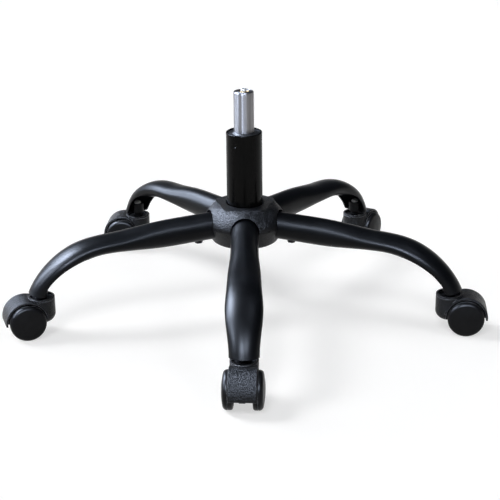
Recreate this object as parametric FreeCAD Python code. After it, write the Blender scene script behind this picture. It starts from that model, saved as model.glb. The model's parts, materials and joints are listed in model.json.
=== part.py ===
import FreeCAD, Part
import math
import os

# Five-star swivel chair base: five formed steel legs, a plastic hub cover, a gas-lift
# column and five hooded twin-wheel casters. Millimetres and degrees.
# Origin on the floor under the column's axis, +Z up, the front leg points along -Y.

# Legs: round tube at the hub, pressed to a wide oval, then bent down as an open channel
FRONT_LEG_ANGLE = -90.0
LEG_REACH = 295.5
LEG_FALL = 3.3
LEG_BEND_RADIUS = 110.0
LEG_TIP_ANGLE = 63.0
LEG_KNEE_ANGLE = 31.0
LEG_TUBE_DIAMETER = 38.0
LEG_WALL = 1.8
LEG_ROUND_LENGTH = 110.0
LEG_OVAL_WIDTH = 44.5
LEG_OVAL_HEIGHT = 24.4
LEG_KNEE_WIDTH = 48.5
LEG_KNEE_HEIGHT = 24.6
LEG_TIP_WIDTH = 38.5
LEG_TIP_HEIGHT = 28.0
LEG_TIP_TILT = 8.0
LEG_TIP_GAP = 4.2
CHANNEL_MOUTH_ANGLE = 19.0
CHANNEL_MOUTH_SLANT = 14.0
CHANNEL_MOUTH_DEPTH = 7.5
CHANNEL_DEPTH = 1.6
CHANNEL_TIP_DEPTH = 6.0

# Caster wheels and axle
WHEEL_RADIUS = 25.0
WHEEL_INNER_FACE = 12.3
WHEEL_OUTER_FACE = 27.1
WHEEL_CROWN_WIDTH = 12.2
WHEEL_TREAD_ROUND = 3.0
WHEEL_RIM_ROUND = 5.5
WHEEL_DOME_RADIUS = 60.0
WHEEL_DOME_FLAT = 9.0
WHEEL_TREAD_WALL = 4.0
WHEEL_FACE_WALL = 5.9
WHEEL_BOSS_RADIUS = 7.5
WHEEL_GROOVE_DEPTH = 0.6
WHEEL_GROOVE_WIDTH = 0.9
WHEEL_GROOVE_PLACE = 6.0
WHEEL_RIB_COUNT = 6
WHEEL_RIB_THICKNESS = 1.6
WHEEL_RIB_SETBACK = 2.0
AXLE_DIAMETER = 8.0
AXLE_END_COVER = 4.0

# Caster hood and stem
CASTER_TRAIL = 23.0
HOOD_WIDTH = 36.0
HOOD_WALL = 2.6
HOOD_EDGE_ROUND = 1.2
HOOD_WHEEL_GAP = 2.2
HOOD_LIP_ANGLE = 95.0
HOOD_LEAD_ANGLE = 80.0
HOOD_RIB_WIDTH = 8.0
HOOD_BOSS_RADIUS = 8.5
HOOD_SIDE_GAP = 0.5
COLLAR_RADIUS = 18.2
COLLAR_RISE = 0.2
COLLAR_BOTTOM = 18.5
COLLAR_BOTTOM_ROUND = 12.0
COLLAR_RIM_ROUND = 0.9
COLLAR_GROOVE_DROP = 2.3
COLLAR_GROOVE_WIDTH = 0.9
COLLAR_GROOVE_DEPTH = 0.6
COLLAR_CUP_RADIUS = 15.5
COLLAR_CUP_DEPTH = 3.0
STEM_DIAMETER = 11.0
STEM_LENGTH = 22.0
STEM_PIVOT_DIAMETER = 10.0
STEM_PIVOT_LENGTH = 27.0
STEM_FLANGE_RADIUS = 8.0
STEM_FLANGE_THICKNESS = 2.0
STEM_CHAMFER = 1.2
STEM_INSET = 2.0
GRIP_RING_WIDTH = 3.0
GRIP_RING_DEPTH = 0.7
GRIP_RING_PLACE = 12.0
SOCKET_RADIUS = 9.5
SOCKET_HEIGHT = 14.0
SOCKET_PLATE = 3.0
SOCKET_PLATE_REACH = 2.0
SOCKET_CLEARANCE = 0.1

# Angle of each caster from straight outwards, as it was left standing
SWING_FRONT = -3.0
SWING_FRONT_RIGHT = 13.0
SWING_REAR_RIGHT = 4.0
SWING_REAR_LEFT = 50.0
SWING_FRONT_LEFT = 1.0

# Hub: steel socket with stub arms, bolts and a two-part plastic cover
COVER_RADIUS = 56.8
COVER_WALL = 2.5
COVER_TOP_MARGIN = 7.2
COVER_BOTTOM_MARGIN = 9.5
COVER_SEAM_DROP = 3.3
COVER_SEAM_GAP = 0.3
COVER_TOP_AT_LEGS = 36.0
COVER_TOP_BETWEEN = 43.0
COVER_EAVE_DROP = 7.0
COVER_EAVE_AT_LEGS = 50.6
COVER_EAVE_BETWEEN = 47.0
COVER_SHOULDER_DROP = 14.5
COVER_SHOULDER_AT_LEGS = 54.6
COVER_SHOULDER_BETWEEN = 53.0
COVER_SECTION_POINTS = 6
COVER_FOOT_RADIUS = 46.0
COVER_FOOT_ROUND = 5.0
COVER_COLUMN_GAP = 2.0
COVER_ARCH_GAP = 1.0
COVER_ARCH_RISE = 2.3
COVER_PORT_GAP = 0.5
SNAP_WIDTH = 3.2
SNAP_HEIGHT = 1.6
SNAP_DEPTH = 1.4
SNAP_RISE = 1.0
SLEEVE_WALL = 5.0
LEG_ROOT_GAP = 3.0
STUB_WALL = 3.0
STUB_CLEARANCE = 0.1
STUB_PAST_BOLT = 28.0
BOLT_OFFSET = 12.6
BOLT_DIAMETER = 6.0
BOLT_HEAD_FLATS = 10.0
BOLT_HEAD_SIDES = 6
BOLT_HEAD_HEIGHT = 3.0
BOLT_HOLE_CLEARANCE = 0.2
BOLT_PAST_STUB = 2.0

# Column tube and its guide bush
COLUMN_DIAMETER = 50.0
COLUMN_WALL = 2.0
COLUMN_EXPOSED = 102.5
COLUMN_TAIL = 6.0
COLUMN_TAPER = 0.65
COLUMN_RIM_ROUND = 1.0
COLUMN_END_PLATE = 2.5
COLUMN_END_HOLE = 9.0
STAKE_FLOOR_RADIUS = 1.5
STAKE_MOUTH_RADIUS = 3.0
STAKE_DEPTH = 0.8
STAKE_DROP = 14.4
STAKE_COUNT = 3
STAKE_FIRST_ANGLE = -120.0
BUSH_LENGTH = 60.0
BUSH_SINK = 1.8
BUSH_LIP_RADIUS = 16.2
BUSH_LIP_HEIGHT = 2.0

# Gas lift: piston rod and thrust bearing turn in the column, the cylinder slides on the rod
LIFT_STROKE = 80.0
CYLINDER_DIAMETER = 28.0
CYLINDER_GUIDE_RELIEF = 0.5
CYLINDER_WALL = 2.0
CYLINDER_EXPOSED = 57.0
CYLINDER_LEAD_LENGTH = 3.0
CYLINDER_LEAD_DEPTH = 0.4
CYLINDER_LIP = 3.0
CYLINDER_LIP_GAP = 0.8
CYLINDER_TOP_CHAMFER = 0.8
ROD_DIAMETER = 10.0
ROD_TAIL = 6.0
SEAL_LENGTH = 14.0
PISTON_LENGTH = 12.0
PISTON_GROOVE_WIDTH = 3.0
PISTON_GROOVE_DEPTH = 1.0
PISTON_MARGIN = 1.0
VALVE_LENGTH = 18.0
VALVE_NECK_RADIUS = 7.0
VALVE_DEPTH = 40.0
PIN_DIAMETER = 8.0
PIN_RISE = 3.6
PIN_TRAVEL = 3.0
PIN_CHAMFER = 0.6
RACE_THICKNESS = 2.0
RACE_RADIUS = 17.0
BALL_DIAMETER = 4.0
BALL_PITCH_RADIUS = 13.2
BALL_COUNT = 9
CAGE_THICKNESS = 2.0
CAGE_WIDTH = 6.4
CAGE_CLEARANCE = 0.15
BUMPER_RADIUS = 11.5
BUMPER_LENGTH = 10.0
BUMPER_ROUND = 2.0
CLIP_RADIUS = 11.0
CLIP_THICKNESS = 1.5

# Fits
RUNNING_CLEARANCE = 0.05
STOP_GAP = 0.3

CASTER_SWINGS = {"front": SWING_FRONT,
                 "front_right": SWING_FRONT_RIGHT,
                 "rear_right": SWING_REAR_RIGHT,
                 "rear_left": SWING_REAR_LEFT,
                 "front_left": SWING_FRONT_LEFT}
LEG_NAMES = list(CASTER_SWINGS)
ORIGIN = FreeCAD.Vector(0, 0, 0)
X_AXIS = FreeCAD.Vector(1, 0, 0)
Y_AXIS = FreeCAD.Vector(0, 1, 0)
Z_AXIS = FreeCAD.Vector(0, 0, 1)
FULL_TURN = 360.0
SAME_POINT = 1e-6
LEG_STEP = FULL_TURN / len(LEG_NAMES)

# Heights and places worked out from the sizes above, from the floor upwards
axle_height = WHEEL_RADIUS
fender_inner = WHEEL_RADIUS + HOOD_WHEEL_GAP
fender_outer = fender_inner + HOOD_WALL
collar_top = axle_height + fender_outer + COLLAR_RISE
cup_floor = collar_top - COLLAR_CUP_DEPTH
stem_radius_place = LEG_REACH - STEM_INSET
tip_height = collar_top + LEG_TIP_GAP
fall = math.radians(LEG_FALL)
tip_turn = math.radians(LEG_TIP_ANGLE)
straight_reach = LEG_REACH - LEG_BEND_RADIUS * (math.sin(tip_turn) - math.sin(fall))
straight_length = straight_reach / math.cos(fall)
knee_height = tip_height + LEG_BEND_RADIUS * (math.cos(fall) - math.cos(tip_turn))
leg_axis_height = knee_height + straight_reach * math.tan(fall)
bend_centre = FreeCAD.Vector(straight_reach - LEG_BEND_RADIUS * math.sin(fall), 0,
                             knee_height - LEG_BEND_RADIUS * math.cos(fall))
leg_radius = LEG_TUBE_DIAMETER / 2
column_radius = COLUMN_DIAMETER / 2
column_bore = column_radius - COLUMN_WALL
column_foot_radius = column_radius - COLUMN_TAPER
cover_top = leg_axis_height + leg_radius + COVER_TOP_MARGIN
cover_bottom = leg_axis_height - leg_radius - COVER_BOTTOM_MARGIN
cover_seam = leg_axis_height - COVER_SEAM_DROP
cover_hole = column_radius + COVER_COLUMN_GAP
sleeve_radius = column_radius + SLEEVE_WALL
sleeve_top = cover_top - COVER_WALL
sleeve_bottom = cover_bottom + COVER_WALL
leg_root = sleeve_radius + LEG_ROOT_GAP
stub_radius = leg_radius - LEG_WALL - STUB_CLEARANCE
bolt_place = COVER_RADIUS + BOLT_OFFSET
stub_length = bolt_place + STUB_PAST_BOLT
column_bottom = cover_bottom - COLUMN_TAIL
column_top = cover_top + COLUMN_EXPOSED
bush_top = column_top - BUSH_SINK
bush_bottom = bush_top - BUSH_LENGTH
rod_radius = ROD_DIAMETER / 2
lower_race_bottom = column_bottom + COLUMN_END_PLATE
ball_bottom = lower_race_bottom + RACE_THICKNESS + RUNNING_CLEARANCE
ball_height = ball_bottom + BALL_DIAMETER / 2
upper_race_bottom = ball_bottom + BALL_DIAMETER + RUNNING_CLEARANCE
bumper_bottom = upper_race_bottom + RACE_THICKNESS
cylinder_bottom = bumper_bottom + BUMPER_LENGTH + STOP_GAP
cylinder_top = column_top + CYLINDER_EXPOSED
cylinder_radius = CYLINDER_DIAMETER / 2
cylinder_bore = cylinder_radius - CYLINDER_WALL
guided_radius = cylinder_radius - CYLINDER_GUIDE_RELIEF
land_bottom = bush_top + BUSH_LIP_HEIGHT + 2 * STOP_GAP
land_top = cylinder_top - CYLINDER_LEAD_LENGTH
seal_bottom = cylinder_bottom + CYLINDER_LIP
seal_top = seal_bottom + SEAL_LENGTH
piston_bottom = seal_top + LIFT_STROKE + PISTON_MARGIN
piston_top = piston_bottom + PISTON_LENGTH
valve_shoulder = cylinder_top - VALVE_DEPTH
valve_bottom = valve_shoulder - VALVE_LENGTH
pin_radius = PIN_DIAMETER / 2
pin_top = cylinder_top + PIN_RISE
pin_bottom = valve_bottom + PIN_TRAVEL
flange_bottom = cup_floor + STOP_GAP
flange_top = flange_bottom + STEM_FLANGE_THICKNESS
stem_top = flange_top + STEM_LENGTH
pivot_bottom = flange_bottom - STEM_PIVOT_LENGTH


# Profile helpers

def corner_points(before, corner, after, radius):
    """The points of one outline corner: itself, or start, middle and end of its rounding."""
    if radius == 0:
        return [corner]
    inward = (before - corner).normalize()
    outward = (after - corner).normalize()
    half = inward.getAngle(outward) / 2
    bisector = (inward + outward).normalize()
    reach = radius / math.tan(half)
    middle = corner + bisector * (radius / math.sin(half) - radius)
    return [corner + inward * reach, middle, corner + outward * reach]


def outline(corners, place):
    """Closed face through corners (x, y, rounding), set into space by place(x, y)."""
    flat = [FreeCAD.Vector(x, y, 0) for x, y, rounding in corners]
    spans = []
    for index, corner in enumerate(corners):
        after = flat[(index + 1) % len(flat)]
        spans.append(corner_points(flat[index - 1], flat[index], after, corner[2]))
    edges = []
    for index, span in enumerate(spans):
        placed = [place(p.x, p.y) for p in span]
        following = spans[(index + 1) % len(spans)][0]
        target = place(following.x, following.y)
        if len(placed) == 3:
            edges.append(Part.Arc(*placed).toShape())
        if placed[-1].distanceToPoint(target) > SAME_POINT:
            edges.append(Part.makeLine(placed[-1], target))
    return Part.Face(Part.Wire(edges))


def upright(x, y):
    """A profile point in the plane of X and Z."""
    return FreeCAD.Vector(x, 0, y)


def turned(corners):
    """Solid turned about the vertical axis from corners (radius, height, rounding)."""
    return outline(corners, upright).revolve(ORIGIN, Z_AXIS, FULL_TURN)


def ring(inner, outer, bottom, top):
    """Plain ring or, with no inner radius, a plain disc."""
    return turned([(inner, bottom, 0), (outer, bottom, 0), (outer, top, 0), (inner, top, 0)])


def on_axle(side, radius):
    """A profile point beside the axle: distance along the axle and radius above it."""
    return FreeCAD.Vector(CASTER_TRAIL, side, axle_height + radius)


AXLE_POINT = on_axle(0, 0)


def turned_on_axle(corners, start=0.0, sweep=FULL_TURN):
    """Solid turned about the axle from corners (side, radius, rounding)."""
    face = outline(corners, on_axle)
    face.rotate(AXLE_POINT, Y_AXIS, start)
    return face.revolve(AXLE_POINT, Y_AXIS, sweep)


def axle_drum(radius, low, high):
    """Cylinder about the axle between two places along it."""
    return Part.makeCylinder(radius, high - low, on_axle(low, 0), Y_AXIS)


def turned_copy(shape, angle):
    """Copy of a shape turned about the column's axis."""
    copy = shape.copy()
    copy.rotate(ORIGIN, Z_AXIS, angle)
    return copy


def leg_angle(index):
    return FRONT_LEG_ANGLE + index * LEG_STEP


def fused(shapes):
    """One solid from several that meet."""
    whole = shapes[0].fuse(shapes[1:])
    return whole.removeSplitter()


# Legs, drawn along +X

def leg_centre(travel):
    """Place and slope of the leg's centre line, by the distance travelled from the axis."""
    if travel <= straight_length:
        place = FreeCAD.Vector(travel * math.cos(fall), 0, leg_axis_height - travel * math.sin(fall))
        return place, fall
    slope = fall + (travel - straight_length) / LEG_BEND_RADIUS
    spoke = FreeCAD.Vector(math.sin(slope), 0, math.cos(slope))
    return bend_centre + spoke * LEG_BEND_RADIUS, slope


def bend_travel(angle):
    """Distance travelled along the leg to a slope within the bend."""
    return straight_length + (math.radians(angle) - fall) * LEG_BEND_RADIUS


def eased(low, high, share):
    """Smooth step from one size to the next."""
    return low + (high - low) * share * share * (3 - 2 * share)


def leg_stations():
    """Sections along the leg: distance travelled, width and height."""
    round_size = (LEG_TUBE_DIAMETER, LEG_TUBE_DIAMETER)
    tip_size = (LEG_TIP_WIDTH, LEG_TIP_HEIGHT)
    marks = [(leg_root, round_size, 3),
             (LEG_ROUND_LENGTH, round_size, 4),
             (straight_length, (LEG_OVAL_WIDTH, LEG_OVAL_HEIGHT), 2),
             (bend_travel(LEG_KNEE_ANGLE), (LEG_KNEE_WIDTH, LEG_KNEE_HEIGHT), 3),
             (bend_travel(LEG_TIP_ANGLE), tip_size, 1),
             (bend_travel(LEG_TIP_ANGLE + LEG_TIP_TILT) + LEG_TIP_HEIGHT / 2, tip_size, 1)]
    stations = []
    for mark, after in zip(marks, marks[1:]):
        start, size, steps = mark
        for step in range(steps):
            share = step / steps
            stations.append((start + (after[0] - start) * share,
                             eased(size[0], after[1][0], share),
                             eased(size[1], after[1][1], share)))
    stations.append((marks[-1][0], tip_size[0], tip_size[1]))
    return stations


def leg_form(inset, overrun):
    """Solid body of the leg, smaller by inset all round and longer by overrun at its root."""
    wires = []
    for travel, width, height in leg_stations():
        if not wires:
            travel = travel - overrun
        centre, slope = leg_centre(travel)
        normal = FreeCAD.Vector(math.sin(slope), 0, math.cos(slope))
        ahead = FreeCAD.Vector(math.cos(slope), 0, -math.sin(slope))
        section = Part.Wire(Part.Ellipse(ORIGIN, width / 2 - inset, height / 2 - inset).toShape())
        section.Placement = FreeCAD.Placement(centre, FreeCAD.Rotation(Y_AXIS, normal, ahead, "XYZ"))
        wires.append(section)
    return Part.makeLoft(wires, True)


def channel_cut(extra):
    """The space under the bend, from the mouth of the channel past the leg's tip."""
    mouth = math.radians(CHANNEL_MOUTH_ANGLE)
    end = tip_turn + math.radians(LEG_TIP_TILT) + LEG_TIP_HEIGHT / LEG_BEND_RADIUS
    start = mouth - math.radians(CHANNEL_MOUTH_SLANT)

    def spoke(depth, angle):
        return bend_centre + FreeCAD.Vector(math.sin(angle), 0, math.cos(angle)) * (LEG_BEND_RADIUS - depth)

    first = spoke(CHANNEL_MOUTH_DEPTH + extra, mouth)
    last = spoke(CHANNEL_TIP_DEPTH + extra, end)
    roof = Part.Arc(first, spoke(CHANNEL_DEPTH + extra, (mouth + end) / 2), last).toShape()
    foot = spoke(2 * LEG_TUBE_DIAMETER, end)
    heel = spoke(LEG_TUBE_DIAMETER, start)
    rest = Part.makePolygon([last, foot, heel, first])
    face = Part.Face(Part.Wire([roof] + rest.Edges))
    face.translate(Y_AXIS * -LEG_KNEE_WIDTH)
    return face.extrude(Y_AXIS * 2 * LEG_KNEE_WIDTH)


def tip_slab(low, high):
    """Slab square to the leg's cut end, between two heights above the cut."""
    size = 2 * LEG_BEND_RADIUS
    slab = Part.makeBox(size, size, high - low, FreeCAD.Vector(-size / 2, -size / 2, low))
    slab.rotate(ORIGIN, Y_AXIS, -LEG_TIP_TILT)
    slab.translate(FreeCAD.Vector(LEG_REACH, 0, tip_height))
    return slab


def along_leg(shape):
    """Tilt a shape drawn along +X onto the straight axis of a leg."""
    shape.rotate(ORIGIN, Y_AXIS, LEG_FALL)
    shape.translate(Z_AXIS * leg_axis_height)
    return shape


def bolt_bore(radius):
    """Hole for a leg bolt, through the lower walls of the leg and its stub."""
    start = FreeCAD.Vector(bolt_place, 0, -leg_radius - BOLT_HEAD_HEIGHT)
    return along_leg(Part.makeCylinder(radius, leg_radius, start))


def leg_lumen():
    return leg_form(LEG_WALL, LEG_ROOT_GAP)


def leg():
    """Formed leg: round tube at the hub, open channel at the caster end."""
    below_tip = tip_slab(-LEG_BEND_RADIUS, 0)
    bore = bolt_bore(BOLT_DIAMETER / 2 + BOLT_HOLE_CLEARANCE)
    return leg_form(0, 0).cut([leg_lumen(), channel_cut(0), below_tip, bore])


def caster_socket():
    """Welded end plate of the leg with the upright bush for the caster's stem."""
    lumen = leg_lumen()
    plate = tip_slab(0, SOCKET_PLATE).common(lumen)
    plate = plate.cut(channel_cut(SOCKET_PLATE_REACH))
    foot = FreeCAD.Vector(stem_radius_place, 0, tip_height)
    bush = Part.makeCylinder(SOCKET_RADIUS, SOCKET_HEIGHT, foot).common(lumen)
    bore = Part.makeCylinder(STEM_DIAMETER / 2 + SOCKET_CLEARANCE, LEG_BEND_RADIUS,
                             foot - Z_AXIS * LEG_BEND_RADIUS / 2)
    return fused([plate, bush]).cut([bore, tip_slab(-LEG_BEND_RADIUS, 0)])


# Casters, drawn with the stem on the vertical axis and the wheels trailing along +X

def caster_stem():
    """Steel stem: shank with grip-ring groove, flange and the pivot that the hood turns on."""
    shank = STEM_DIAMETER / 2
    groove = flange_top + GRIP_RING_PLACE
    return turned([(0, pivot_bottom, 0),
                   (STEM_PIVOT_DIAMETER / 2, pivot_bottom, 0),
                   (STEM_PIVOT_DIAMETER / 2, flange_bottom, 0),
                   (STEM_FLANGE_RADIUS, flange_bottom, 0),
                   (STEM_FLANGE_RADIUS, flange_top, 0),
                   (shank, flange_top, 0),
                   (shank, groove, 0),
                   (shank - GRIP_RING_DEPTH, groove, 0),
                   (shank - GRIP_RING_DEPTH, groove + GRIP_RING_WIDTH, 0),
                   (shank, groove + GRIP_RING_WIDTH, 0),
                   (shank, stem_top - STEM_CHAMFER, 0),
                   (shank - STEM_CHAMFER, stem_top, 0),
                   (0, stem_top, 0)])


def grip_ring():
    """Split spring ring in the stem's groove, tight in the socket."""
    shank = STEM_DIAMETER / 2
    bottom = flange_top + GRIP_RING_PLACE
    band = ring(shank - GRIP_RING_DEPTH, shank + SOCKET_CLEARANCE, bottom, bottom + GRIP_RING_WIDTH)
    slit = Part.makeBox(STEM_DIAMETER, GRIP_RING_WIDTH / 2, GRIP_RING_WIDTH,
                        FreeCAD.Vector(0, -GRIP_RING_WIDTH / 4, bottom))
    return band.cut(slit)


def caster_hood():
    """Moulded hood: cup-shaped collar, fender over both wheels, centre rib and axle boss."""
    half = HOOD_WIDTH / 2
    inner_side = WHEEL_INNER_FACE - HOOD_SIDE_GAP
    groove = collar_top - COLLAR_GROOVE_DROP
    collar = turned([(0, COLLAR_BOTTOM, 0),
                     (COLLAR_RADIUS, COLLAR_BOTTOM, COLLAR_BOTTOM_ROUND),
                     (COLLAR_RADIUS, groove - COLLAR_GROOVE_WIDTH, 0),
                     (COLLAR_RADIUS - COLLAR_GROOVE_DEPTH, groove - COLLAR_GROOVE_WIDTH / 2, 0),
                     (COLLAR_RADIUS, groove, 0),
                     (COLLAR_RADIUS, collar_top, COLLAR_RIM_ROUND),
                     (0, collar_top, 0)])
    fender = turned_on_axle([(-half, fender_inner, 0),
                             (half, fender_inner, 0),
                             (half, fender_outer, HOOD_EDGE_ROUND),
                             (-half, fender_outer, HOOD_EDGE_ROUND)],
                            -HOOD_LEAD_ANGLE, HOOD_LEAD_ANGLE + HOOD_LIP_ANGLE)
    rib = axle_drum(fender_inner + HOOD_WALL / 2, -HOOD_RIB_WIDTH / 2, HOOD_RIB_WIDTH / 2)
    reach = 2 * fender_outer
    under = Part.makeBox(2 * reach, reach, reach,
                         FreeCAD.Vector(-reach, -reach / 2, axle_height - HOOD_BOSS_RADIUS / 2 - reach))
    boss = axle_drum(HOOD_BOSS_RADIUS, -inner_side, inner_side)
    far = COLLAR_RADIUS + HOOD_WIDTH
    wheel_room = axle_drum(fender_inner, -far, far)
    wheel_room = wheel_room.cut(axle_drum(fender_inner, -inner_side, inner_side))
    whole = fused([collar.cut(wheel_room), fender, rib.cut(under), boss])
    cup = Part.makeCylinder(COLLAR_CUP_RADIUS, COLLAR_CUP_DEPTH + fender_outer,
                            FreeCAD.Vector(0, 0, cup_floor))
    pivot_bore = Part.makeCylinder(STEM_PIVOT_DIAMETER / 2 + RUNNING_CLEARANCE, fender_outer,
                                   FreeCAD.Vector(0, 0, pivot_bottom - STOP_GAP))
    return whole.cut([cup, pivot_bore, axle_drum(AXLE_DIAMETER / 2, -far, far)])


def axle_reach():
    """Half the axle's length: each end stops inside the wheel's closed face."""
    return WHEEL_OUTER_FACE - AXLE_END_COVER


def caster_axle():
    return axle_drum(AXLE_DIAMETER / 2, -axle_reach(), axle_reach())


def caster_wheel(side):
    """Domed wheel with a crowned tread, a rim groove and a blind axle boss, on side +1 or -1."""
    bore = AXLE_DIAMETER / 2 + RUNNING_CLEARANCE
    bore_end = axle_reach() + STOP_GAP
    crown_end = WHEEL_INNER_FACE + WHEEL_CROWN_WIDTH
    web = WHEEL_OUTER_FACE - WHEEL_FACE_WALL
    groove = WHEEL_INNER_FACE + WHEEL_GROOVE_PLACE
    tread_bore = WHEEL_RADIUS - WHEEL_TREAD_WALL
    corners = [(WHEEL_INNER_FACE, bore, 0),
               (bore_end, bore, 0),
               (bore_end, 0, 0),
               (WHEEL_OUTER_FACE, 0, 0),
               (WHEEL_OUTER_FACE, WHEEL_DOME_FLAT, WHEEL_DOME_RADIUS),
               (crown_end, WHEEL_RADIUS, WHEEL_RIM_ROUND),
               (groove + WHEEL_GROOVE_WIDTH, WHEEL_RADIUS, 0),
               (groove + WHEEL_GROOVE_WIDTH / 2, WHEEL_RADIUS - WHEEL_GROOVE_DEPTH, 0),
               (groove, WHEEL_RADIUS, 0),
               (WHEEL_INNER_FACE, WHEEL_RADIUS, WHEEL_TREAD_ROUND),
               (WHEEL_INNER_FACE, tread_bore, 0),
               (web, tread_bore, 0),
               (web, WHEEL_BOSS_RADIUS, 0),
               (WHEEL_INNER_FACE, WHEEL_BOSS_RADIUS, 0)]
    shell = turned_on_axle([(side * place, radius, rounding) for place, radius, rounding in corners])
    return fused([shell] + wheel_ribs(side, web, tread_bore))


def wheel_ribs(side, web, tread_bore):
    """Radial ribs in the hollow of a wheel, between its axle boss and its tread."""
    low, high = sorted([side * (WHEEL_INNER_FACE + WHEEL_RIB_SETBACK), side * web])
    start = (AXLE_DIAMETER / 2 + WHEEL_BOSS_RADIUS) / 2
    end = (tread_bore + WHEEL_RADIUS) / 2
    ribs = []
    for index in range(WHEEL_RIB_COUNT):
        corner = AXLE_POINT + FreeCAD.Vector(start, low, -WHEEL_RIB_THICKNESS / 2)
        rib = Part.makeBox(end - start, high - low, WHEEL_RIB_THICKNESS, corner)
        rib.rotate(AXLE_POINT, Y_AXIS, index * FULL_TURN / WHEEL_RIB_COUNT)
        ribs.append(rib)
    return ribs


def at_leg_tip(shape, index):
    """Copy of a caster piece set under the tip of its leg."""
    copy = turned_copy(shape, CASTER_SWINGS[LEG_NAMES[index]])
    copy.translate(X_AXIS * stem_radius_place)
    copy.rotate(ORIGIN, Z_AXIS, leg_angle(index))
    return copy


# Hub

def hub_socket():
    """Steel sleeve with a taper bore for the column and five stub arms for the legs."""
    height = sleeve_top - sleeve_bottom
    foot = Z_AXIS * sleeve_bottom
    pieces = [Part.makeCylinder(sleeve_radius, height, foot)]
    hollows = [Part.makeCone(column_foot_radius, column_radius, height, foot)]
    stub = along_leg(Part.makeCylinder(stub_radius, stub_length, ORIGIN, X_AXIS))
    stub_bore = stub_radius - STUB_WALL
    hollow = along_leg(Part.makeCylinder(stub_bore, stub_length, X_AXIS * sleeve_radius, X_AXIS))
    for index in range(len(LEG_NAMES)):
        pieces.append(turned_copy(stub, leg_angle(index)))
        hollows.append(turned_copy(hollow, leg_angle(index)))
        hollows.append(turned_copy(bolt_bore(BOLT_DIAMETER / 2), leg_angle(index)))
    return fused(pieces).cut(hollows)


def leg_bolt():
    """Hexagon bolt that clamps a leg to its stub from below."""
    seat = -leg_radius
    half_side = math.pi / BOLT_HEAD_SIDES
    corner = BOLT_HEAD_FLATS / 2 / math.cos(half_side)
    points = []
    for step in range(BOLT_HEAD_SIDES + 1):
        turn = 2 * half_side * step
        points.append(FreeCAD.Vector(bolt_place + corner * math.cos(turn), corner * math.sin(turn),
                                     seat - BOLT_HEAD_HEIGHT))
    head = Part.Face(Part.makePolygon(points)).extrude(Z_AXIS * BOLT_HEAD_HEIGHT)
    length = LEG_WALL + STUB_CLEARANCE + STUB_WALL + BOLT_PAST_STUB
    shank = Part.makeCylinder(BOLT_DIAMETER / 2, length, FreeCAD.Vector(bolt_place, 0, seat))
    return along_leg(fused([head, shank]))


def leg_ports(gap, rise):
    """Room for the five leg tubes in the sides of the hub cover."""
    reach = 2 * COVER_RADIUS
    ports = []
    for index in range(len(LEG_NAMES)):
        tube = Part.makeCylinder(leg_radius + gap, reach, FreeCAD.Vector(sleeve_radius, 0, rise), X_AXIS)
        ports.append(turned_copy(along_leg(tube), leg_angle(index)))
    return ports


def cover_section(height, at_legs, between):
    """Five-lobed outline of the upper cover at one height."""
    steps = COVER_SECTION_POINTS * len(LEG_NAMES)
    points = []
    for step in range(steps):
        turn = step * FULL_TURN / steps
        lobe = (1 + math.cos(math.radians(turn) * len(LEG_NAMES))) / 2
        reach = FreeCAD.Vector(between + (at_legs - between) * lobe, 0, height)
        points.append(FreeCAD.Rotation(Z_AXIS, FRONT_LEG_ANGLE + turn).multVec(reach))
    curve = Part.BSplineCurve()
    curve.interpolate(Points=points, PeriodicFlag=True)
    return Part.Wire(curve.toShape())


def cover_dome(foot, inset):
    """Solid dome of the upper cover from its foot upwards, smaller by inset all round."""
    top = cover_top - inset
    return Part.makeLoft([cover_section(foot, COVER_RADIUS - inset, COVER_RADIUS - inset),
                          cover_section(top - COVER_SHOULDER_DROP, COVER_SHOULDER_AT_LEGS - inset,
                                        COVER_SHOULDER_BETWEEN - inset),
                          cover_section(top - COVER_EAVE_DROP, COVER_EAVE_AT_LEGS - inset,
                                        COVER_EAVE_BETWEEN - inset),
                          cover_section(top, COVER_TOP_AT_LEGS - inset, COVER_TOP_BETWEEN - inset)], True)


def snap_dents():
    """Small snap windows of the upper cover, between the legs."""
    dents = []
    for index in range(len(LEG_NAMES)):
        corner = FreeCAD.Vector(COVER_RADIUS - SNAP_DEPTH, -SNAP_WIDTH / 2, cover_seam + SNAP_RISE)
        dent = Part.makeBox(2 * SNAP_DEPTH, SNAP_WIDTH, SNAP_HEIGHT, corner)
        dents.append(turned_copy(dent, leg_angle(index) + LEG_STEP / 2))
    return dents


def hub_cover_upper():
    """Upper half of the moulded cover: flat top, lobes over the legs and a skirt with arches."""
    skirt_foot = cover_seam + COVER_SEAM_GAP
    bore = Part.makeCylinder(cover_hole, cover_top, Z_AXIS * cover_bottom)
    hollow = cover_dome(skirt_foot, COVER_WALL)
    ports = leg_ports(COVER_ARCH_GAP, COVER_ARCH_RISE)
    return cover_dome(skirt_foot, 0).cut([hollow, bore] + ports + snap_dents())


def hub_cover_lower():
    """Lower half of the cover: a bowl under the hub, hugging the legs from below."""
    shell = turned([(cover_hole, cover_bottom, 0),
                    (COVER_FOOT_RADIUS, cover_bottom, COVER_FOOT_ROUND),
                    (COVER_RADIUS, cover_seam, 0),
                    (COVER_RADIUS - COVER_WALL, cover_seam, 0),
                    (COVER_FOOT_RADIUS - COVER_WALL, cover_bottom + COVER_WALL, 0),
                    (cover_hole, cover_bottom + COVER_WALL, 0)])
    return shell.cut(leg_ports(COVER_PORT_GAP, 0))


# Column

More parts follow.
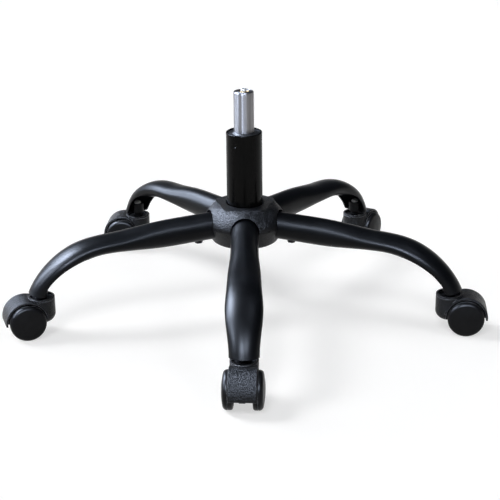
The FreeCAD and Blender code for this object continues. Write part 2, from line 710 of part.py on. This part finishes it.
def column_tube():
    """Outer tube of the gas lift, tapered where it stands in the hub, with a flanged foot."""
    tube = turned([(COLUMN_END_HOLE, column_bottom, 0),
                   (column_foot_radius, column_bottom, COLUMN_RIM_ROUND),
                   (column_foot_radius, sleeve_bottom, 0),
                   (column_radius, sleeve_top, 0),
                   (column_radius, column_top, COLUMN_RIM_ROUND),
                   (column_bore, column_top, 0),
                   (column_bore, sleeve_top, 0),
                   (column_bore - COLUMN_TAPER, sleeve_bottom, 0),
                   (column_bore - COLUMN_TAPER, lower_race_bottom, 0),
                   (COLUMN_END_HOLE, lower_race_bottom, 0)])
    place = FreeCAD.Vector(column_radius - STAKE_DEPTH, 0, column_top - STAKE_DROP)
    dent = Part.makeCone(STAKE_FLOOR_RADIUS, STAKE_MOUTH_RADIUS, STAKE_DEPTH, place, X_AXIS)
    dents = []
    for index in range(STAKE_COUNT):
        dents.append(turned_copy(dent, STAKE_FIRST_ANGLE + index * FULL_TURN / STAKE_COUNT))
    return tube.cut(dents)


def guide_bush():
    """Plastic bush in the column's mouth that guides the gas cylinder, with a wiper lip."""
    bore = guided_radius + RUNNING_CLEARANCE
    return turned([(bore, bush_bottom, 0),
                   (column_bore, bush_bottom, 0),
                   (column_bore, bush_top, 0),
                   (BUSH_LIP_RADIUS, bush_top, 0),
                   (bore + RUNNING_CLEARANCE, bush_top + BUSH_LIP_HEIGHT, 0),
                   (bore, bush_top + BUSH_LIP_HEIGHT, 0)])


# Gas lift

def gas_cylinder():
    """Steel cylinder: rolled lower lip, guided length and the bare post that takes the seat."""
    lip = rod_radius + CYLINDER_LIP_GAP
    return turned([(lip, cylinder_bottom, 0),
                   (guided_radius, cylinder_bottom, CYLINDER_TOP_CHAMFER),
                   (guided_radius, land_bottom, 0),
                   (cylinder_radius, land_bottom, 0),
                   (cylinder_radius, land_top, 0),
                   (cylinder_radius - CYLINDER_LEAD_DEPTH, cylinder_top, CYLINDER_TOP_CHAMFER),
                   (VALVE_NECK_RADIUS, cylinder_top, 0),
                   (VALVE_NECK_RADIUS, valve_shoulder, 0),
                   (cylinder_bore, valve_shoulder, 0),
                   (cylinder_bore, seal_bottom, 0),
                   (lip, seal_bottom, 0)])


def rod_seal():
    return ring(rod_radius + RUNNING_CLEARANCE, cylinder_bore, seal_bottom, seal_top)


def valve_body():
    """Valve plug at the head of the cylinder, bored for the release pin."""
    bore = pin_radius + RUNNING_CLEARANCE
    return turned([(bore, valve_bottom, 0),
                   (cylinder_bore, valve_bottom, 0),
                   (cylinder_bore, valve_shoulder, 0),
                   (VALVE_NECK_RADIUS, valve_shoulder, 0),
                   (VALVE_NECK_RADIUS, cylinder_top - CYLINDER_TOP_CHAMFER, 0),
                   (bore, cylinder_top - CYLINDER_TOP_CHAMFER, 0)])


def release_pin():
    return turned([(0, pin_bottom, 0),
                   (pin_radius, pin_bottom, 0),
                   (pin_radius, pin_top, PIN_CHAMFER),
                   (0, pin_top, 0)])


def piston_rod():
    return ring(0, rod_radius, column_bottom - ROD_TAIL, piston_top)


def piston():
    """Piston fixed to the rod, with a groove for its seal."""
    outer = cylinder_bore - RUNNING_CLEARANCE
    groove = piston_bottom + (PISTON_LENGTH - PISTON_GROOVE_WIDTH) / 2
    return turned([(rod_radius, piston_bottom, 0),
                   (outer, piston_bottom, 0),
                   (outer, groove, 0),
                   (outer - PISTON_GROOVE_DEPTH, groove, 0),
                   (outer - PISTON_GROOVE_DEPTH, groove + PISTON_GROOVE_WIDTH, 0),
                   (outer, groove + PISTON_GROOVE_WIDTH, 0),
                   (outer, piston_top, 0),
                   (rod_radius, piston_top, 0)])


def bearing_race_lower():
    return ring(COLUMN_END_HOLE, RACE_RADIUS, lower_race_bottom, lower_race_bottom + RACE_THICKNESS)


def bearing_race_upper():
    return ring(rod_radius, RACE_RADIUS, upper_race_bottom, upper_race_bottom + RACE_THICKNESS)


def ball_places():
    for index in range(BALL_COUNT):
        turn = math.radians(index * FULL_TURN / BALL_COUNT)
        spoke = FreeCAD.Vector(math.cos(turn), math.sin(turn), 0)
        yield spoke * BALL_PITCH_RADIUS + Z_AXIS * ball_height


def bearing_balls():
    return Part.makeCompound([Part.makeSphere(BALL_DIAMETER / 2, place) for place in ball_places()])


def bearing_cage():
    """Flat ring that spaces the balls of the thrust bearing."""
    bottom = ball_height - CAGE_THICKNESS / 2
    band = ring(BALL_PITCH_RADIUS - CAGE_WIDTH / 2, BALL_PITCH_RADIUS + CAGE_WIDTH / 2,
                bottom, bottom + CAGE_THICKNESS)
    pockets = []
    for place in ball_places():
        pockets.append(Part.makeCylinder(BALL_DIAMETER / 2 + CAGE_CLEARANCE, BALL_DIAMETER,
                                         place - Z_AXIS * BALL_DIAMETER / 2))
    return band.cut(pockets)


def bumper():
    """Rubber stop under the gas cylinder."""
    return turned([(rod_radius, bumper_bottom, 0),
                   (BUMPER_RADIUS, bumper_bottom, 0),
                   (BUMPER_RADIUS, bumper_bottom + BUMPER_LENGTH, BUMPER_ROUND),
                   (rod_radius, bumper_bottom + BUMPER_LENGTH, 0)])


def retaining_clip():
    """Clip on the rod's tail that keeps it in the column."""
    top = column_bottom - STOP_GAP
    return ring(rod_radius, CLIP_RADIUS, top - CLIP_THICKNESS, top)


# The pieces, one file each

def fixed_pieces():
    return {"column_tube": column_tube(),
            "guide_bush": guide_bush(),
            "hub_socket": hub_socket(),
            "hub_cover_upper": hub_cover_upper(),
            "hub_cover_lower": hub_cover_lower(),
            "gas_cylinder": gas_cylinder(),
            "rod_seal": rod_seal(),
            "valve_body": valve_body(),
            "release_pin": release_pin(),
            "piston_rod": piston_rod(),
            "piston": piston(),
            "bearing_race_lower": bearing_race_lower(),
            "bearing_race_upper": bearing_race_upper(),
            "bearing_balls": bearing_balls(),
            "bearing_cage": bearing_cage(),
            "bumper": bumper(),
            "retaining_clip": retaining_clip()}


def repeated_pieces():
    """Pieces that come once for each leg."""
    on_leg = {"leg": leg(),
              "caster_socket": caster_socket()}
    on_stem = {"caster_stem": caster_stem(),
               "caster_hood": caster_hood(),
               "caster_axle": caster_axle(),
               "caster_wheel_left": caster_wheel(1),
               "caster_wheel_right": caster_wheel(-1)}
    pieces = {}
    for index, name in enumerate(LEG_NAMES):
        for kind, shape in on_leg.items():
            pieces[kind + "_" + name] = turned_copy(shape, leg_angle(index))
        for kind, shape in on_stem.items():
            pieces[kind + "_" + name] = at_leg_tip(shape, index)
    bolt = leg_bolt()
    grip = grip_ring()
    legs = range(len(LEG_NAMES))
    pieces["leg_bolts"] = Part.makeCompound([turned_copy(bolt, leg_angle(index)) for index in legs])
    pieces["stem_grip_rings"] = Part.makeCompound([at_leg_tip(grip, index) for index in legs])
    return pieces


os.makedirs("parts", exist_ok=True)
for pieces in (fixed_pieces(), repeated_pieces()):
    for node, shape in pieces.items():
        shape.exportStep("parts/" + node + ".step")
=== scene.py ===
import json
import math

import bpy
from mathutils import Matrix, Vector


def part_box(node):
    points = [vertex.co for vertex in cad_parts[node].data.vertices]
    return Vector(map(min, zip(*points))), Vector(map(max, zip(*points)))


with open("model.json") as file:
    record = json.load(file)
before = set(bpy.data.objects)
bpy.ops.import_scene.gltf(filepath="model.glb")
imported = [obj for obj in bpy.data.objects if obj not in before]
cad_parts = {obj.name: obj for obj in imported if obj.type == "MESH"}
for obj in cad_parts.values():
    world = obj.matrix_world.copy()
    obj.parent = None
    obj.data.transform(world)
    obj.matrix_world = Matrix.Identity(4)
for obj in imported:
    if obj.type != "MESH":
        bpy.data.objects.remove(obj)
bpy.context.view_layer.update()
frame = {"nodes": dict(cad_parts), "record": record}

# Camera, in metres, degrees and, for the lens and sensor, millimetres
CAMERA_TARGET = Vector((0.0067, 0.0, 0.0844))
CAMERA_DISTANCE = 1.9465
CAMERA_ELEVATION = 21.42
CAMERA_YAW = 0.32
CAMERA_ROLL = -0.53
CAMERA_LENS = 98.57
CAMERA_SENSOR = 36.0
CAMERA_CLIP_START = 0.05
CAMERA_CLIP_END = 60

# Floor, in metres, and surroundings: the white ends and the ceiling starts at these sines of elevation
FLOOR_RADIUS = 14.0
FLOOR_CORNERS = 96
FLOOR_COLOUR = (0.5, 0.5, 0.5, 1)
FLOOR_GLOW = 0.58
HORIZON_WHITE_END = 0.04
HORIZON_COLOUR = (1, 1, 1, 1)
CEILING_START = 0.20
CEILING_COLOUR = (0.036, 0.042, 0.056, 1)

# Lamps that light a surface's own colour: name, azimuth, elevation, light level, width, angles in degrees
LAMPS = (
    ("window", 164, 46, 0.55, 20),
    ("side", 150, 24, 0.20, 20),
    ("front", -110, 50, 0.35, 20),
    ("right", -36, 45, 0.10, 14),
)
LAMP_COLOUR = (1.0, 1.0, 1.0)
LAMP_DISTANCE = 3

# Bright cards that only the gloss of a surface shows, given as the lamps are
CARDS = (
    ("card_left", 158, 46, 5.6, 24),
    ("card_left_low", 160, 24, 1.6, 22),
    ("card_back_left", 135, 32, 0.7, 16),
    ("card_front_left", -165, 32, 1.7, 18),
    ("card_front", -106, 38, 2.9, 12),
    ("card_front_right", -74, 42, 1.4, 12),
    ("card_right_high", 0, 70, 0.16, 22),
)
CARD_COLOUR = (0.70, 0.80, 1.0)

# Range that most of a noise's values lie in
NOISE_LOW = 0.3
NOISE_HIGH = 0.7

# Rubbed edges of the mouldings, lighter both as wear and as a painted highlight along each edge: width in
# metres, colour, and how alike the normals of the sharp and the rounded surface are where the lighter
# edge colour starts and where it is full
EDGE_WIDTH = 0.001
EDGE_WEAR_AND_HIGHLIGHT_COLOUR = (0.24, 0.25, 0.27, 1)
EDGE_WEAR_AND_HIGHLIGHT_START = 0.98
EDGE_WEAR_AND_HIGHLIGHT_FULL = 0.80
EDGE_SAMPLES = 8

# Moulded grain: its mottle's and fine layer's scale, and the fine layer's depth, against the coarse layer
GRAIN_MOTTLE_SCALE = 0.8
GRAIN_FINE_SCALE = 2.2
GRAIN_FINE_DEPTH = 0.4

# Ground metal: how far its rings spread the gloss, and the quarter turn that spreads it upwards
RING_SPREAD = 0.85
RING_TURN = 0.25

# Light grey top end of each caster stem, a painted highlight on the bright metal tip above a body in
# painted shade, down from its top in metres
STEM_BRIGHT_START = 0.0045
STEM_BRIGHT_END = 0.003


# Camera
def camera_axes():
    """The camera's right, up and backward directions."""
    elevation = math.radians(CAMERA_ELEVATION)
    yaw = math.radians(CAMERA_YAW)
    roll = math.radians(CAMERA_ROLL)
    flat = math.cos(elevation)
    back = Vector((math.sin(yaw) * flat, -math.cos(yaw) * flat, math.sin(elevation)))
    right = Vector((math.cos(yaw), math.sin(yaw), 0))
    up = back.cross(right)
    turned_right = right * math.cos(roll) + up * math.sin(roll)
    turned_up = up * math.cos(roll) - right * math.sin(roll)
    return turned_right, turned_up, back


def make_camera():
    data = bpy.data.cameras.new("camera")
    data.lens = CAMERA_LENS
    data.sensor_width = CAMERA_SENSOR
    data.clip_start = CAMERA_CLIP_START
    data.clip_end = CAMERA_CLIP_END
    right, up, back = camera_axes()
    camera = bpy.data.objects.new("camera", data)
    camera.matrix_world = Matrix((right, up, back)).transposed().to_4x4()
    camera.location = CAMERA_TARGET + back * CAMERA_DISTANCE
    bpy.context.scene.collection.objects.link(camera)
    bpy.context.scene.camera = camera


# Node helpers
def empty_tree(owner):
    owner.use_nodes = True
    owner.node_tree.nodes.clear()
    return owner.node_tree


def higher_of(tree, first, second):
    node = tree.nodes.new("ShaderNodeMath")
    node.operation = "MAXIMUM"
    tree.links.new(first, node.inputs[0])
    tree.links.new(second, node.inputs[1])
    return node.outputs[0]


def seen_directly(tree):
    """1 on camera, glossy and transmission rays, 0 on the others."""
    rays = tree.nodes.new("ShaderNodeLightPath").outputs
    seen = higher_of(tree, rays["Is Camera Ray"], rays["Is Glossy Ray"])
    return higher_of(tree, seen, rays["Is Transmission Ray"])


def set_ramp(ramp, start, first, end, last):
    """A ramp of two colours, from first at start to last at end."""
    low, high = ramp.color_ramp.elements
    low.position = start
    low.color = first
    high.position = end
    high.color = last


# Floor and surroundings
def floor_white():
    """White floor that shades where the object stands in the light."""
    material = bpy.data.materials.new("floor_white")
    tree = empty_tree(material)
    diffuse = tree.nodes.new("ShaderNodeBsdfDiffuse")
    diffuse.inputs["Color"].default_value = FLOOR_COLOUR
    glow = tree.nodes.new("ShaderNodeEmission")
    level = tree.nodes.new("ShaderNodeMath")
    level.operation = "MULTIPLY"
    level.inputs[1].default_value = FLOOR_GLOW
    tree.links.new(seen_directly(tree), level.inputs[0])
    tree.links.new(level.outputs[0], glow.inputs["Strength"])
    both = tree.nodes.new("ShaderNodeAddShader")
    tree.links.new(diffuse.outputs[0], both.inputs[0])
    tree.links.new(glow.outputs[0], both.inputs[1])
    output = tree.nodes.new("ShaderNodeOutputMaterial")
    tree.links.new(both.outputs[0], output.inputs["Surface"])
    return material


def make_floor():
    bpy.ops.mesh.primitive_circle_add(vertices=FLOOR_CORNERS, radius=FLOOR_RADIUS, fill_type="NGON")
    floor = bpy.context.object
    floor.name = "floor"
    floor.data.materials.append(floor_white())


def make_world():
    """White round the horizon, as a lit sweep is, under a dim ceiling."""
    world = bpy.data.worlds.new("studio")
    bpy.context.scene.world = world
    tree = empty_tree(world)
    place = tree.nodes.new("ShaderNodeTexCoord")
    split = tree.nodes.new("ShaderNodeSeparateXYZ")
    tree.links.new(place.outputs["Generated"], split.inputs[0])
    ramp = tree.nodes.new("ShaderNodeValToRGB")
    ramp.color_ramp.interpolation = "EASE"
    set_ramp(ramp, HORIZON_WHITE_END, HORIZON_COLOUR, CEILING_START, CEILING_COLOUR)
    tree.links.new(split.outputs["Z"], ramp.inputs["Fac"])
    background = tree.nodes.new("ShaderNodeBackground")
    background.inputs["Strength"].default_value = 1
    tree.links.new(ramp.outputs["Color"], background.inputs["Color"])
    output = tree.nodes.new("ShaderNodeOutputWorld")
    tree.links.new(background.outputs[0], output.inputs["Surface"])


def make_lamp(name, azimuth, elevation, level, width, gloss_only):
    """A distant soft lamp: level 1 lights a white surface that faces it to white."""
    data = bpy.data.lights.new(name, "SUN")
    data.energy = level * math.pi
    data.angle = math.radians(width)
    data.color = CARD_COLOUR if gloss_only else LAMP_COLOUR
    turn = math.radians(azimuth)
    rise = math.radians(elevation)
    flat = math.cos(rise)
    towards = Vector((math.cos(turn) * flat, math.sin(turn) * flat, math.sin(rise)))
    lamp = bpy.data.objects.new(name, data)
    lamp.location = towards * LAMP_DISTANCE
    lamp.rotation_euler = (-towards).to_track_quat("-Z", "Y").to_euler()
    lamp.visible_diffuse = not gloss_only
    lamp.visible_glossy = gloss_only
    bpy.context.scene.collection.objects.link(lamp)


def make_lights():
    for lamp in LAMPS:
        make_lamp(*lamp, gloss_only=False)
    for card in CARDS:
        make_lamp(*card, gloss_only=True)


# Finishes
class Finish:
    """One material's node tree, with the few nodes that every finish here is made of."""

    def __init__(self, name, specular, metallic=0.0):
        self.material = bpy.data.materials.new(name)
        self.tree = empty_tree(self.material)
        self.shader = self.new("ShaderNodeBsdfPrincipled")
        self.shader.inputs["Metallic"].default_value = metallic
        self.shader.inputs["Specular IOR Level"].default_value = specular
        output = self.new("ShaderNodeOutputMaterial")
        self.link(self.shader.outputs[0], output.inputs["Surface"])
        self.place = self.new("ShaderNodeTexCoord").outputs["Object"]

    def new(self, kind):
        return self.tree.nodes.new(kind)

    def link(self, start, end):
        self.tree.links.new(start, end)

    def stretched(self, scale):
        """Places scaled along each axis, for grain that runs one way."""
        mapping = self.new("ShaderNodeMapping")
        mapping.inputs["Scale"].default_value = scale
        self.link(self.place, mapping.inputs["Vector"])
        return mapping.outputs[0]

    def noise(self, scale, detail=2.0, place=None):
        """Cloudy values, with scale counted in clouds per metre."""
        node = self.new("ShaderNodeTexNoise")
        node.inputs["Scale"].default_value = scale
        node.inputs["Detail"].default_value = detail
        self.link(place or self.place, node.inputs["Vector"])
        return node.outputs["Fac"]

    def span(self, value, start, end, low=0.0, high=1.0):
        """A value turned from the range start to end into the range low to high."""
        node = self.new("ShaderNodeMapRange")
        node.inputs["From Min"].default_value = start
        node.inputs["From Max"].default_value = end
        node.inputs["To Min"].default_value = low
        node.inputs["To Max"].default_value = high
        self.link(value, node.inputs["Value"])
        return node.outputs["Result"]

    def colours(self, value, dark, light):
        ramp = self.new("ShaderNodeValToRGB")
        set_ramp(ramp, NOISE_LOW, (*dark, 1), NOISE_HIGH, (*light, 1))
        self.link(value, ramp.inputs["Fac"])
        self.link(ramp.outputs["Color"], self.shader.inputs["Base Color"])

    def worn_and_highlit_edges(self):
        """Mix a lighter colour over the edges: wear where handling rubs a moulding, and a painted
        highlight along each edge.
        """
        rounded = self.new("ShaderNodeBevel")
        rounded.samples = EDGE_SAMPLES
        rounded.inputs["Radius"].default_value = EDGE_WIDTH
        sharp = self.new("ShaderNodeNewGeometry")
        likeness = self.new("ShaderNodeVectorMath")
        likeness.operation = "DOT_PRODUCT"
        self.link(rounded.outputs["Normal"], likeness.inputs[0])
        self.link(sharp.outputs["Normal"], likeness.inputs[1])
        edge_wear_and_highlight = self.span(likeness.outputs["Value"], EDGE_WEAR_AND_HIGHLIGHT_START, EDGE_WEAR_AND_HIGHLIGHT_FULL)
        # Lighter edge colour: wear, and a painted highlight along each edge
        mix = self.new("ShaderNodeMixRGB")
        mix.inputs["Color2"].default_value = EDGE_WEAR_AND_HIGHLIGHT_COLOUR
        colour = self.shader.inputs["Base Color"]
        self.link(colour.links[0].from_socket, mix.inputs["Color1"])
        self.link(edge_wear_and_highlight, mix.inputs["Fac"])
        self.link(mix.outputs["Color"], colour)

    def roughness(self, value, low, high):
        self.link(self.span(value, NOISE_LOW, NOISE_HIGH, low, high), self.shader.inputs["Roughness"])

    def bumps(self, *layers):
        """Each layer is a height value, its strength and its depth in metres."""
        before = None
        for height, strength, depth in layers:
            node = self.new("ShaderNodeBump")
            node.inputs["Strength"].default_value = strength
            node.inputs["Distance"].default_value = depth
            self.link(height, node.inputs["Height"])
            if before:
                self.link(before, node.inputs["Normal"])
            before = node.outputs["Normal"]
        self.link(before, self.shader.inputs["Normal"])


def leg_coat():
    """Satin black powder coat with a faint orange peel."""
    finish = Finish("leg_coat", specular=0.09)
    finish.colours(finish.noise(30, 3), dark=(0.0016, 0.0019, 0.0026), light=(0.0034, 0.0038, 0.005))
    finish.roughness(finish.noise(55, 3), low=0.33, high=0.37)
    finish.bumps((finish.noise(420), 0.04, 0.0002), (finish.noise(1500), 0.06, 0.0001))
    return finish.material


def column_paint():
    """Gloss black paint on a drawn tube."""
    finish = Finish("column_paint", specular=0.06)
    finish.colours(finish.noise(25, 3), dark=(0.001, 0.001, 0.001), light=(0.003, 0.003, 0.0028))
    drawn = finish.stretched((1, 1, 0.15))
    finish.roughness(finish.noise(60, 3, drawn), low=0.16, high=0.26)
    finish.bumps((finish.noise(300), 0.06, 0.0002))
    return finish.material


def grained_plastic(name, grain_scale, depth, edge_wear_and_highlight):
    """Moulded black plastic with a spark-eroded grain."""
    finish = Finish(name, specular=0.14)
    mottle = finish.noise(grain_scale * GRAIN_MOTTLE_SCALE)
    finish.colours(mottle, dark=(0.002, 0.0022, 0.0028), light=(0.006, 0.0066, 0.008))
    # Lighter edges: wear, and a painted highlight along each edge
    if edge_wear_and_highlight:
        finish.worn_and_highlit_edges()
    finish.roughness(finish.noise(70, 3), low=0.31, high=0.39)
    coarse = finish.noise(grain_scale, 1)
    fine = finish.noise(grain_scale * GRAIN_FINE_SCALE)
    finish.bumps((coarse, 0.9, depth), (fine, 0.3, depth * GRAIN_FINE_DEPTH))
    return finish.material


def wheel_plastic():
    """Smooth satin nylon, slightly scuffed, with lighter edges that are partly wear and partly a painted
    highlight.
    """
    finish = Finish("wheel_plastic", specular=0.1)
    finish.colours(finish.noise(90, 4), dark=(0.003, 0.003, 0.0036), light=(0.006, 0.006, 0.007))
    # Lighter edges: wear, and a painted highlight along the rims
    finish.worn_and_highlit_edges()
    finish.roughness(finish.noise(140, 4), low=0.30, high=0.40)
    finish.bumps((finish.noise(1300), 0.06, 0.0001))
    return finish.material


def streaked_metal(name, dark, light, low, high):
    """Bare ground metal: fine rings round its length spread the gloss upwards, with upright streaks."""
    finish = Finish(name, specular=0.5, metallic=1.0)
    finish.shader.inputs["Anisotropic"].default_value = RING_SPREAD
    finish.shader.inputs["Anisotropic Rotation"].default_value = RING_TURN
    round_axis = finish.new("ShaderNodeTangent")
    round_axis.direction_type = "RADIAL"
    round_axis.axis = "Z"
    finish.link(round_axis.outputs[0], finish.shader.inputs["Tangent"])
    streaks = finish.noise(1, 4, finish.stretched((420, 420, 5)))
    finish.colours(streaks, dark, light)
    finish.roughness(finish.noise(1, 3, finish.stretched((260, 260, 14))), low, high)
    finish.bumps((streaks, 0.08, 0.00005))
    return finish.material


def stem_steel():
    """Stem steel painted near black along its body as painted shade under the leg and cup, and light grey
    at the top end for the bright metal tip, there as a painted highlight.
    """
    finish = Finish("stem_steel", specular=0.1)
    split = finish.new("ShaderNodeSeparateXYZ")
    finish.link(finish.place, split.inputs[0])
    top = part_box("caster_stem_front")[1][2]
    bright = finish.span(split.outputs["Z"], top - STEM_BRIGHT_START, top - STEM_BRIGHT_END)
    # Painted shade on the stem's body, painted highlight on its top end
    finish.colours(bright, dark=(0.004, 0.004, 0.0042), light=(0.75, 0.75, 0.73))
    finish.roughness(finish.noise(400, 3), low=0.32, high=0.48)
    finish.bumps((finish.noise(900), 0.12, 0.0001))
    return finish.material


def mottled_metal(name, dark, light, low, high):
    """Plated or cast metal with a fine cloudy mottle."""
    finish = Finish(name, specular=0.5, metallic=1.0)
    finish.colours(finish.noise(260, 4), dark, light)
    finish.roughness(finish.noise(180, 3), low, high)
    finish.bumps((finish.noise(900), 0.12, 0.0001))
    return finish.material


def matt_black(name, dark, light, low, high, grain_scale):
    """Rubber or plain moulded plastic."""
    finish = Finish(name, specular=0.3)
    finish.colours(finish.noise(120, 4), dark, light)
    finish.roughness(finish.noise(150, 3), low, high)
    finish.bumps((finish.noise(grain_scale), 0.25, 0.0001))
    return finish.material


def make_finishes():
    """A material for each slot. Metals and matt blacks: dark colour, light colour, range of roughness."""
    return {
        "leg_coat": leg_coat(),
        "column_paint": column_paint(),
        "cover_plastic": grained_plastic("cover_plastic", grain_scale=630, depth=0.0012, edge_wear_and_highlight=False),
        "hood_plastic": grained_plastic("hood_plastic", grain_scale=760, depth=0.0011, edge_wear_and_highlight=True),
        "wheel_plastic": wheel_plastic(),
        "cylinder_steel": streaked_metal(
            "cylinder_steel", (0.145, 0.143, 0.145), (0.25, 0.246, 0.25), 0.30, 0.42),
        "rod_steel": streaked_metal("rod_steel", (0.5, 0.5, 0.51), (0.62, 0.62, 0.63), 0.12, 0.2),
        "stem_steel": stem_steel(),
        "zinc_steel": mottled_metal("zinc_steel", (0.42, 0.42, 0.4), (0.62, 0.62, 0.6), 0.25, 0.42),
        "black_steel": mottled_metal(
            "black_steel", (0.015, 0.015, 0.017), (0.035, 0.035, 0.038), 0.35, 0.5),
        "bearing_steel": mottled_metal("bearing_steel", (0.5, 0.5, 0.5), (0.64, 0.64, 0.65), 0.14, 0.24),
        "bush_plastic": matt_black(
            "bush_plastic", (0.006, 0.006, 0.006), (0.014, 0.014, 0.014), 0.4, 0.52, grain_scale=800),
        "rubber": matt_black(
            "rubber", (0.008, 0.008, 0.008), (0.018, 0.018, 0.017), 0.68, 0.84, grain_scale=500),
        "valve_brass": mottled_metal("valve_brass", (0.5, 0.33, 0.1), (0.66, 0.46, 0.18), 0.25, 0.4),
        "piston_alloy": mottled_metal("piston_alloy", (0.5, 0.5, 0.51), (0.66, 0.66, 0.68), 0.3, 0.45),
    }


def dress_nodes():
    """Each node takes the finish of its slot in the record."""
    finishes = make_finishes()
    for entry in frame["record"]["subparts"]:
        mesh = frame["nodes"][entry["node"]].data
        mesh.materials.clear()
        mesh.materials.append(finishes[entry["material_slot"]])


bpy.context.scene.view_settings.view_transform = "Standard"
make_camera()
make_floor()
make_world()
make_lights()
dress_nodes()
